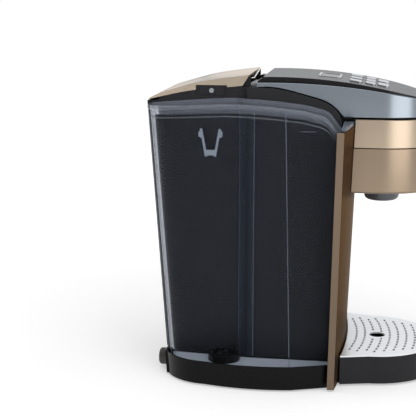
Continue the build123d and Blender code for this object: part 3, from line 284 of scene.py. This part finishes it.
def material(name, rgb, rough, metal=0.0, grain=(900, 900, 900), spread=(9, 9, 9), vary=0.05, rough_vary=0.05,
             bump=0.12, depth=0.0001, **sockets):
    """Principled finish; sockets are named with _ for spaces."""
    mat = bpy.data.materials.new(name)
    mat.use_nodes = True
    tree = mat.node_tree
    bsdf = tree.nodes["Principled BSDF"]
    bsdf.inputs["Metallic"].default_value = metal
    for socket, value in sockets.items():
        bsdf.inputs[socket.replace("_", " ")].default_value = value
    finish_node(tree, bsdf, rgb, rough, grain, spread, vary, rough_vary, bump, depth)
    return mat


def brushed(name, rgb, rough, aniso=0.75, **sockets):
    """Horizontally brushed sheet: long grain round the piece, highlights drawn out up and down."""
    mat = material(name, rgb, rough, 1.0, grain=(14, 14, 4200), spread=(3, 3, 5), vary=0.05, rough_vary=0.05,
                   bump=0.08, depth=0.00003, Anisotropic=aniso, **sockets)
    tree = mat.node_tree
    tangent = tree.nodes.new("ShaderNodeTangent")
    tangent.direction_type = "RADIAL"
    tangent.axis = "Z"
    tree.links.new(tangent.outputs[0], tree.nodes["Principled BSDF"].inputs["Tangent"])
    return mat


def clear(name, tint, edge, haze=0.006, limb=0.20, shine=0.30):
    """Clear moulded plastic: tinted walls that turn pale and glossy where they're seen edge on."""
    mat = bpy.data.materials.new(name)
    mat.use_nodes = True
    tree = mat.node_tree
    bsdf = tree.nodes["Principled BSDF"]
    bsdf.inputs["Base Color"].default_value = edge
    bsdf.inputs["Roughness"].default_value = PALE_ROUGH
    bsdf.inputs["IOR"].default_value = PLASTIC_IOR
    out = tree.nodes["Material Output"]
    through = tree.nodes.new("ShaderNodeBsdfTransparent")
    through.inputs["Color"].default_value = tint
    weight = tree.nodes.new("ShaderNodeLayerWeight")
    weight.inputs["Blend"].default_value = 0.5
    cover = remap(tree, weight.outputs["Facing"], PALE_FACING, (haze, limb), smooth=True)
    body = mixed(tree, cover, through.outputs[0], bsdf.outputs[0])
    gloss = tree.nodes.new("ShaderNodeBsdfGlossy")
    gloss.inputs["Color"].default_value = GLOSS_COLOUR
    gloss.inputs["Roughness"].default_value = GLOSS_ROUGH
    rim = tree.nodes.new("ShaderNodeFresnel")
    rim.inputs["IOR"].default_value = 1.0 + 0.3 * shine
    share = combine(tree, "MULTIPLY", rim.outputs[0], GLOSS_SHARE)
    tree.links.new(mixed(tree, share, body, gloss.outputs[0]), out.inputs["Surface"])
    return mat


MATS = {
    "gold": brushed("brushed_champagne", colour(0.690, 0.625, 0.550), 0.26),
    # Lighter copy of the champagne finish for the rear top cap: painted light on its top.
    "gold_painted_light_cap": brushed("brushed_champagne_painted_light_cap", colour(0.830, 0.765, 0.685), 0.26),
    # Darker copy of the champagne finish for the head's lower shell: painted shade.
    "gold_painted_shade_lower": brushed("brushed_champagne_painted_shade_lower", colour(0.560, 0.495, 0.425), 0.24),
    # Darker copy of the champagne finish for the front panel, with its reflections darkened by a brown specular
    # tint: painted shade on its front face.
    "gold_painted_shade_panel": brushed("brushed_champagne_painted_shade_panel", colour(0.455, 0.395, 0.335), 0.30,
                          Specular_Tint=(0.30, 0.24, 0.18, 1.0)),
    "handle": material("satin_silver", colour(0.57, 0.60, 0.63), 0.24, 0.9, vary=0.02, rough_vary=0.03,
                       bump=0.03),
    "button": material("silver_button", colour(0.80, 0.81, 0.82), 0.25, 0.85, vary=0.02, bump=0.03),
    "crown": material("dark_gloss", colour(0.105, 0.100, 0.112), 0.28, vary=0.05, bump=0.03,
                      Specular_IOR_Level=0.22),
    "charcoal": material("charcoal_plastic", colour(0.165, 0.165, 0.175), 0.45, grain=(2600, 2600, 2600),
                         bump=0.06, depth=0.00004, vary=0.04, Specular_IOR_Level=0.22),
    "black": material("black_plastic", colour(0.055, 0.055, 0.060), 0.26, vary=0.06, bump=0.05,
                      Specular_IOR_Level=0.12),
    "tray": material("tray_plastic", colour(0.125, 0.125, 0.135), 0.34, vary=0.05, bump=0.05,
                     Specular_IOR_Level=0.22),
    "dome": material("dome_plastic", colour(0.34, 0.35, 0.37), 0.30, vary=0.04, bump=0.04),
    "screen": material("display_glass", colour(0.06, 0.07, 0.09), 0.06, vary=0.02, bump=0.0),
    "plate": material("plate_metal", colour(0.95, 0.96, 0.97), 0.32, 0.5, grain=(60, 1500, 60), vary=0.03,
                      bump=0.05),
    "rubber": material("rubber", colour(0.09, 0.09, 0.09), 0.75, bump=0.3),
    "silicone": material("silicone", colour(0.78, 0.79, 0.78), 0.5),
    "steel": material("steel", colour(0.74, 0.75, 0.76), 0.28, 1.0, grain=(40, 40, 1800)),
    "white": material("white_plastic", colour(0.86, 0.86, 0.84), 0.4),
    "board": material("circuit_board", colour(0.10, 0.32, 0.20), 0.4),
    "gland": material("gland_plastic", colour(0.26, 0.24, 0.23), 0.45),
    "clear": clear("clear_plastic", (0.93, 0.935, 0.95, 1.0), colour(0.60, 0.64, 0.70)),
    "rim": clear("clear_rim", (0.86, 0.87, 0.90, 1.0), colour(0.66, 0.69, 0.74), 0.22, 0.55, 0.6),
    "haze": clear("clear_step", (0.86, 0.88, 0.92, 1.0), colour(0.50, 0.55, 0.62), 0.10, 0.2, 0.2),
    "trim": clear("clear_trim", (0.72, 0.76, 0.82, 1.0), colour(0.72, 0.76, 0.82), 0.25, 0.6, 1.0),
    # Pale blue-grey sheet on the tank's floor: painted reflection of the white surroundings seen in the floor.
    "tank_floor_painted_reflection": material("clear_floor_painted_reflection", colour(0.80, 0.84, 0.88), 0.25, vary=0.03, bump=0.02),
    "clip": material("clip_plastic", colour(0.58, 0.62, 0.66), 0.12, 0.3, vary=0.02, bump=0.0),
}

LOOKS = {
    "gold": ("head_collar",),
    "gold_painted_light_cap": ("rear_top_cap",),
    "gold_painted_shade_lower": ("head_lower_shell",),
    "gold_painted_shade_panel": ("front_panel",),
    "handle": ("handle",),
    "button": ("display_bezel", "button_hot_water", "button_power", "button_strong", "button_small_cup",
               "button_medium_cup", "button_large_cup", "button_iced", "button_brew"),
    "crown": ("lid_top_panel",),
    "clip": ("wall_clip",),
    "charcoal": ("left_side_panel", "right_side_cover", "rear_cover", "side_latch_plate", "top_deck",
                 "right_inner_wall"),
    "tray": ("tray_body",),
    "dome": ("funnel",),
    "black": ("base_housing", "base_plate", "head_deck", "pod_holder", "lid_inner_shell",
              "latch_hook", "outlet_fitment", "dock_socket", "pump_mount", "tank_legs", "control_board"),
    "screen": ("display_window",),
    "plate": ("drip_plate",),
    "clear": ("reservoir_shell",),
    "trim": ("panel_top_trim",),
    "rubber": ("rubber_feet",),
    "silicone": ("needle_gasket", "dock_seal", "brew_hose", "lid_hose"),
    "steel": ("cap_screw", "base_screws", "entry_needle", "exit_needle", "heater_tank", "valve_spring",
              "hinge_pin", "hinge_brackets", "pump_motor"),
    "white": ("pump_body", "pump_rotor", "valve_plunger", "tank_lid"),
    "board": ("keypad_board", "display_module"),
    "gland": ("cord_gland",),
}


# Nodes whose place is taken by a copy with rounded edges: width in millimetres and look
EDGED = (
    ("head_lower_shell", 0.7, "gold_painted_shade_lower"),
    ("head_collar", 0.7, "gold"),
    ("front_panel", 0.6, "gold_painted_shade_panel"),
    ("rear_top_cap", 0.7, "gold_painted_light_cap"),
    ("handle", 0.9, "handle"),
    ("lid_top_panel", 1.2, "crown"),
    ("left_side_panel", 0.6, "charcoal"),
    ("right_side_cover", 0.8, "charcoal"),
    ("tray_body", 0.8, "tray"),
    ("base_housing", 0.6, "black"),
    ("drip_plate", 0.35, "plate"),
)
BEVEL_ANGLE = 32.0
BEVEL_SEGMENTS = 2
WELD = 0.000002


def dress():
    """Every node in its finish."""
    for look, names in LOOKS.items():
        for name in names:
            mesh = NODES[name].data
            mesh.materials.clear()
            mesh.materials.append(MATS[look])


def edged(node, width, look):
    """The node's own shape with its edges rounded off, standing in for the node."""
    source = NODES[node].data
    mesh = bpy.data.meshes.new(node + "_edged")
    mesh.from_pydata([v.co[:] for v in source.vertices], [], [p.vertices[:] for p in source.polygons])
    form = bmesh.new()
    form.from_mesh(mesh)
    bmesh.ops.remove_doubles(form, verts=form.verts, dist=WELD)
    bmesh.ops.dissolve_degenerate(form, edges=form.edges, dist=WELD / 2)
    bmesh.ops.dissolve_limit(form, angle_limit=math.radians(0.5), verts=form.verts, edges=form.edges)
    form.to_mesh(mesh)
    form.free()
    mesh.polygons.foreach_set("use_smooth", [True] * len(mesh.polygons))
    piece = bpy.data.objects.new(node + "_edged", mesh)
    scene.collection.objects.link(piece)
    bevel = piece.modifiers.new("bevel", "BEVEL")
    bevel.width = width * MM
    bevel.segments = BEVEL_SEGMENTS
    bevel.limit_method = "ANGLE"
    bevel.angle_limit = math.radians(BEVEL_ANGLE)
    bevel.harden_normals = True
    bevel.use_clamp_overlap = True
    even = piece.modifiers.new("normals", "WEIGHTED_NORMAL")
    even.keep_sharp = True
    mesh.materials.append(MATS[look])
    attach(piece, NODES[node]["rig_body"])
    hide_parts(node)


# Reservoir, in millimetres, from the same values as the frame's


FLANK_Z = (28.0, 306.0)
FLANK = {
    "front": ((-80.0, -44.8), (-106.0, -49.8)),
    "round": ((-89.6, -43.0), (-114.6, -48.0)),
    "corner": ((-94.0, -38.0), (-118.5, -43.0)),
    "crease": ((-107.0, 0.0), (-122.0, 6.0)),
    "widest": ((-109.5, 47.0), (-124.2, 52.0)),
    "side": ((-102.0, 93.0), (-119.0, 105.0)),
    "rear_round": ((-89.5, 124.0), (-104.5, 140.0)),
    "rear": ((-68.0, 139.0), (-78.0, 157.6)),
}
RIM = ((-60.0, 272.0), (-45.4, 284.1), (-37.4, 294.7), (-20.4, 301.7), (8.4, 306.3), (50.0, 309.5),
       (117.4, 306.6), (165.0, 302.5))
TANK_LOW_Z = 21.2
TANK_WALL = 2.2
TANK_INNER = (66.6, 57.2)
STEP_Y = (54.0, 60.5)
STUB_PLACE = (-80.0, 74.0)
STUB_PROFILE = ((5.0, 14.5), (8.4, 14.5), (9.0, 15.1), (9.0, 21.1), (5.0, 21.1))

# Points along each stretch of the tank's plan, from its inner front corner round by the outside
PLAN_COUNTS = {"front": 14, "front_round": 14, "flank_front": 20, "flank": 40, "rear_round": 28, "rear": 10,
               "inner_rear": 34, "step": 6, "inner_front": 44}
CREASE_INDEX = PLAN_COUNTS["front"] + PLAN_COUNTS["front_round"] + PLAN_COUNTS["flank_front"]
FRONT_CORNER_INDEX = 18
REAR_CORNER_INDEX = 110
SMOOTH_TURNS = 3
WALL_ROWS = 34

# The wall's first rings: how far above the tank's lowest point, and how far out of the wall's line
FOOT_RINGS = ((0.0, -2.6), (0.4, -1.5), (1.2, -0.5), (2.6, 0.0))

# Its last rings outside: how far below the rim, and how far out of the wall's line. The bead comes first.
RIM_RINGS = ((13.6, 0.0), (13.0, 0.35), (12.2, 0.35), (11.6, 0.0), (4.4, 0.0), (3.9, 0.5), (3.2, 0.9),
             (0.9, 0.9), (0.25, 0.6), (0.0, 0.0))
RIM_START = len(FOOT_RINGS) + WALL_ROWS - 1
BEAD_FACES = (RIM_START + 1, RIM_START + 2)
RIM_FACES = range(RIM_START + 4, RIM_START + 13)
FLOOR_THICK = 2.4

# Its last rings inside, above the floor
FLOOR_RINGS = ((3.0, 0.0), (1.4, -0.5), (0.5, -1.4), (0.0, -3.0))

# Moulded lines down the wall: plan point, half width and how proud each stands; all end LINE_DROP below the rim
WALL_LINES = ((CREASE_INDEX, 0.45, 0.12), (FRONT_CORNER_INDEX, 0.40, 0.10), (REAR_CORNER_INDEX, 0.5, 0.10))
LINE_ROWS = 30
LINE_DROP = 4.5

# The inner wall's step: where its face starts and ends, its height, and where its two lines stand
STEP_FACE_Y = (43.6, 61.2)
STEP_LINE_Y = (43.6, 60.6)
STEP_TOP_Z = 302.0
STEP_ROWS = 24
STEP_LINE_TOP_Z = 303.0
STEP_LINE_ROWS = 12

FILL_LINE_Y = (-9.0, -25.0)
FILL_LINE_Z = (282.6, 283.2)
FILL_LINE_IN = 3.4
FILL_LINE_ROWS = 8


def flank_point(key, z):
    share = (z - FLANK_Z[0]) / (FLANK_Z[1] - FLANK_Z[0])
    low, high = FLANK[key]
    return np.array([low[0] + (high[0] - low[0]) * share, low[1] + (high[1] - low[1]) * share])


def arc_points(a, b, c, count):
    """Points on the circle through a, b and c, from a up to but not including c."""
    ax, ay = a
    bx, by = b
    cx, cy = c
    d = 2 * (ax * (by - cy) + bx * (cy - ay) + cx * (ay - by))
    sa, sb, sc = (ax ** 2 + ay ** 2, bx ** 2 + by ** 2, cx ** 2 + cy ** 2)
    ux = (sa * (by - cy) + sb * (cy - ay) + sc * (ay - by)) / d
    uy = (sa * (cx - bx) + sb * (ax - cx) + sc * (bx - ax)) / d
    radius = math.hypot(ax - ux, ay - uy)
    start = math.atan2(ay - uy, ax - ux)
    turn = math.atan2(cy - uy, cx - ux) - start
    if (bx - ax) * (cy - ay) - (by - ay) * (cx - ax) > 0:
        turn = turn % (2 * math.pi)
    else:
        turn = -((-turn) % (2 * math.pi))
    angles = [start + turn * i / count for i in range(count)]
    return [np.array([ux + radius * math.cos(angle), uy + radius * math.sin(angle)]) for angle in angles]


def line_points(a, b, count):
    return [np.array(a) + (np.array(b) - np.array(a)) * i / count for i in range(count)]


def tank_plan(z):
    """Plan of the tank at height z, the same number of points at every height."""
    p = {key: flank_point(key, z) for key in FLANK}
    n = PLAN_COUNTS
    inner_front = np.array([-TANK_INNER[0], p["front"][1]])
    inner_rear = np.array([-TANK_INNER[1], p["rear"][1]])
    step_rear = np.array([-TANK_INNER[1], STEP_Y[1]])
    step_front = np.array([-TANK_INNER[0], STEP_Y[0]])
    points = line_points(inner_front, p["front"], n["front"])
    points += arc_points(p["front"], p["round"], p["corner"], n["front_round"])
    points += line_points(p["corner"], p["crease"], n["flank_front"])
    points += arc_points(p["crease"], p["widest"], p["side"], n["flank"])
    points += arc_points(p["side"], p["rear_round"], p["rear"], n["rear_round"])
    points += line_points(p["rear"], inner_rear, n["rear"])
    points += line_points(inner_rear, step_rear, n["inner_rear"])
    points += line_points(step_rear, step_front, n["step"])
    points += line_points(step_front, inner_front, n["inner_front"])
    points = np.array(points)
    keep = points[CREASE_INDEX].copy()
    for _ in range(SMOOTH_TURNS):
        points = (np.roll(points, 1, 0) + 2 * points + np.roll(points, -1, 0)) / 4
        points[CREASE_INDEX] = keep
    return points


def plan_normals(points):
    """Outward direction at each plan point."""
    ahead = np.roll(points, -1, 0) - np.roll(points, 1, 0)
    ahead /= np.linalg.norm(ahead, axis=1)[:, None]
    normal = np.stack([ahead[:, 1], -ahead[:, 0]], 1)
    area = 0.5 * np.sum(points[:, 0] * np.roll(points[:, 1], -1) - np.roll(points[:, 0], -1) * points[:, 1])
    return normal if area > 0 else -normal


def rim_z(y):
    """Height of the rim at y, on a smooth curve through RIM."""
    ys, zs = np.array(RIM).T
    slopes = np.gradient(zs, ys)
    y = np.clip(y, ys[0], ys[-1])
    i = np.clip(np.searchsorted(ys, y) - 1, 0, len(ys) - 2)
    h = ys[i + 1] - ys[i]
    t = (y - ys[i]) / h
    return ((2 * t ** 3 - 3 * t ** 2 + 1) * zs[i] + (t ** 3 - 2 * t ** 2 + t) * h * slopes[i]
            + (-2 * t ** 3 + 3 * t ** 2) * zs[i + 1] + (t ** 3 - t ** 2) * h * slopes[i + 1])


def tank_tops():
    """Height of the rim above each plan point. The wall leans, so the height is found by repeating."""
    tops = np.full(len(tank_plan(100.0)), 300.0)
    for _ in range(12):
        tops = np.array([rim_z(tank_plan(top)[i][1]) for i, top in enumerate(tops)])
    return tops


def tank_ring(heights, outset):
    """One ring of points: plan point i at heights[i], moved out from the wall by outset[i]."""
    low = tank_plan(FLANK_Z[0])
    high = tank_plan(FLANK_Z[1])
    share = ((heights - FLANK_Z[0]) / (FLANK_Z[1] - FLANK_Z[0]))[:, None]
    points = low + (high - low) * share
    out = plan_normals(points)
    points = points + out * outset[:, None]
    return np.concatenate([points, heights[:, None]], 1)


def new_piece(name, verts, faces, look, body, smooth=True, sharp=None):
    mesh = bpy.data.meshes.new(name)
    mesh.from_pydata([tuple(float(c) * MM for c in v) for v in verts], [], [tuple(f) for f in faces])
    form = bmesh.new()
    form.from_mesh(mesh)
    bmesh.ops.recalc_face_normals(form, faces=form.faces)
    form.to_mesh(mesh)
    form.free()
    mesh.polygons.foreach_set("use_smooth", [smooth] * len(mesh.polygons))
    if sharp:
        mesh.set_sharp_from_angle(angle=math.radians(sharp))
    mesh.materials.append(MATS[look])
    piece = bpy.data.objects.new(name, mesh)
    scene.collection.objects.link(piece)
    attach(piece, body)
    return piece


def lofted(rings):
    """Points and faces of a closed body through rings of equal count."""
    count = len(rings[0])
    verts = [p for ring in rings for p in ring]
    faces = []
    for r in range(len(rings) - 1):
        for i in range(count):
            j = (i + 1) % count
            faces.append((r * count + i, r * count + j, (r + 1) * count + j, (r + 1) * count + i))
    last = (len(rings) - 1) * count
    faces.append(tuple(range(count)))
    faces.append(tuple(last + i for i in reversed(range(count))))
    return verts, faces


def reservoir():
    """The tank's wall with its bead and rim, the stub under it, and a pale sheet on its floor: painted
    reflection of the light surroundings.
    """
    tops = tank_tops()
    base = tank_plan(FLANK_Z[1])
    zero = np.zeros(len(base))
    outer_side = np.clip((-base[:, 0] - 74.0) / 6.0, 0, 1) * np.clip((base[:, 1] + 45.0) / 4.0, 0, 1)
    rings = []
    for rise, inset in FOOT_RINGS:
        rings.append(tank_ring(np.full(len(base), TANK_LOW_Z + rise), zero + inset))
    for row in range(1, WALL_ROWS):
        share = row / WALL_ROWS
        rings.append(tank_ring(TANK_LOW_Z + 3 + (tops - 14.0 - TANK_LOW_Z - 3) * share, zero))
    for drop, grow in RIM_RINGS:
        rings.append(tank_ring(tops - drop, outer_side * grow))
    rings.append(tank_ring(tops, zero - 0.9))
    rings.append(tank_ring(tops - 0.1, zero - 1.6))
    rings.append(tank_ring(tops - 0.7, zero - TANK_WALL))
    floor_z = TANK_LOW_Z + FLOOR_THICK
    for row in range(1, WALL_ROWS):
        share = row / WALL_ROWS
        rings.append(tank_ring(tops - 1 - (tops - 1 - floor_z - 3.0) * share, zero - TANK_WALL))
    for rise, inset in FLOOR_RINGS:
        rings.append(tank_ring(np.full(len(base), floor_z + rise), zero - TANK_WALL + inset))
    verts, faces = lofted(rings)
    piece = new_piece("reservoir_wall", verts, faces, "clear", "reservoir", sharp=24)
    stub = lathe("reservoir_stub", STUB_PLACE, STUB_PROFILE, "clear", "reservoir")
    # A pale sheet on the tank's floor: painted reflection of the light surroundings.
    bottom = tank_ring(np.full(len(base), floor_z + 0.15), zero - TANK_WALL - 2.6)
    top = tank_ring(np.full(len(base), floor_z + 0.5), zero - TANK_WALL - 3.0)
    verts, faces = lofted([bottom, top])
    painted_reflection_sheet = new_piece("reservoir_floor_painted_reflection", verts, faces, "tank_floor_painted_reflection", "reservoir", sharp=24)
    for part in (piece, stub, painted_reflection_sheet):
        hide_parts("reservoir_shell")
    piece.data.materials.append(MATS["rim"])
    ring_size = len(base)
    for face in piece.data.polygons:
        ring = min(face.vertices) // ring_size
        if ring in RIM_FACES or ring in BEAD_FACES:
            face.material_index = 1


def ribs():
    """Moulded lines of the tank: its crease, two corners, the step of its inner wall and the fill line."""
    tops = tank_tops()
    low = np.full(len(tops), TANK_LOW_Z + 2.0)
    high = tops - LINE_DROP
    for number, (index, half, proud) in enumerate(WALL_LINES, 1):
        rings = []
        for row in range(LINE_ROWS + 1):
            z = low[index] + (high[index] - low[index]) * row / LINE_ROWS
            points = tank_plan(z)
            out = plan_normals(points)[index]
            along = np.array([-out[1], out[0]])
            at = points[index]
            rings.append([(*(at - along * half + out * 0.02), z), (*(at + out * (proud + 0.05)), z),
                          (*(at + along * half + out * 0.02), z), (*(at - out * 0.3), z)])
        verts, faces = lofted(rings)
        rib = new_piece("reservoir_edge_%d" % number, verts, faces, "rim", "reservoir")
    front_x, rear_x = (-inner - TANK_WALL for inner in TANK_INNER)
    rings = []
    start_z = TANK_LOW_Z + 3
    start_y, end_y = STEP_FACE_Y
    for row in range(STEP_ROWS + 1):
        z = start_z + (STEP_TOP_Z - start_z) * (row / STEP_ROWS)
        rings.append([(front_x - 0.5, start_y, z), (front_x - 0.1, start_y, z), (rear_x - 0.3, end_y, z),
                      (rear_x - 0.7, end_y, z)])
    verts, faces = lofted(rings)
    step = new_piece("reservoir_step", verts, faces, "haze", "reservoir", smooth=False)
    for name, x, y in (("front", front_x - 0.4, STEP_LINE_Y[0]), ("rear", rear_x - 0.6, STEP_LINE_Y[1])):
        rings = []
        for row in range(STEP_LINE_ROWS + 1):
            z = TANK_LOW_Z + 3 + (STEP_LINE_TOP_Z - TANK_LOW_Z - 3) * row / STEP_LINE_ROWS
            rings.append([(x - 0.25, y - 0.45, z), (x - 0.25, y + 0.45, z), (x + 0.2, y + 0.45, z),
                          (x + 0.2, y - 0.45, z)])
        verts, faces = lofted(rings)
        rib = new_piece("reservoir_step_" + name, verts, faces, "rim", "reservoir", smooth=False)
    mark = []
    low_z, high_z = FILL_LINE_Z
    x = tank_plan(283.0)[:, 0].min() + FILL_LINE_IN
    for row in range(FILL_LINE_ROWS + 1):
        y = FILL_LINE_Y[0] + (FILL_LINE_Y[1] - FILL_LINE_Y[0]) * row / FILL_LINE_ROWS
        mark.append([(x - 0.2, y, low_z), (x - 0.2, y, high_z), (x + 0.3, y, high_z), (x + 0.3, y, low_z)])
    verts, faces = lofted(mark)
    line = new_piece("reservoir_fill_line", verts, faces, "rim", "reservoir", smooth=False)


def lathe(name, centre, profile, look, body, steps=72):
    """A turned ring about a vertical axis through centre, from a closed run of (radius, height) points."""
    x, y = centre
    verts = []
    faces = []
    count = len(profile)
    for step in range(steps):
        angle = 2 * math.pi * step / steps
        for radius, z in profile:
            verts.append((x + radius * math.cos(angle), y + radius * math.sin(angle), z))
    for step in range(steps):
        after = (step + 1) % steps
        for i in range(count):
            j = (i + 1) % count
            faces.append((step * count + i, step * count + j, after * count + j, after * count + i))
    return new_piece(name, verts, faces, look, body, sharp=40)


dress()
reservoir()
ribs()
for node, width, look in EDGED:
    edged(node, width, look)
camera()
world()
floor()
for lamp in LAMPS:
    softbox(*lamp)
scene.view_settings.view_transform = "Standard"
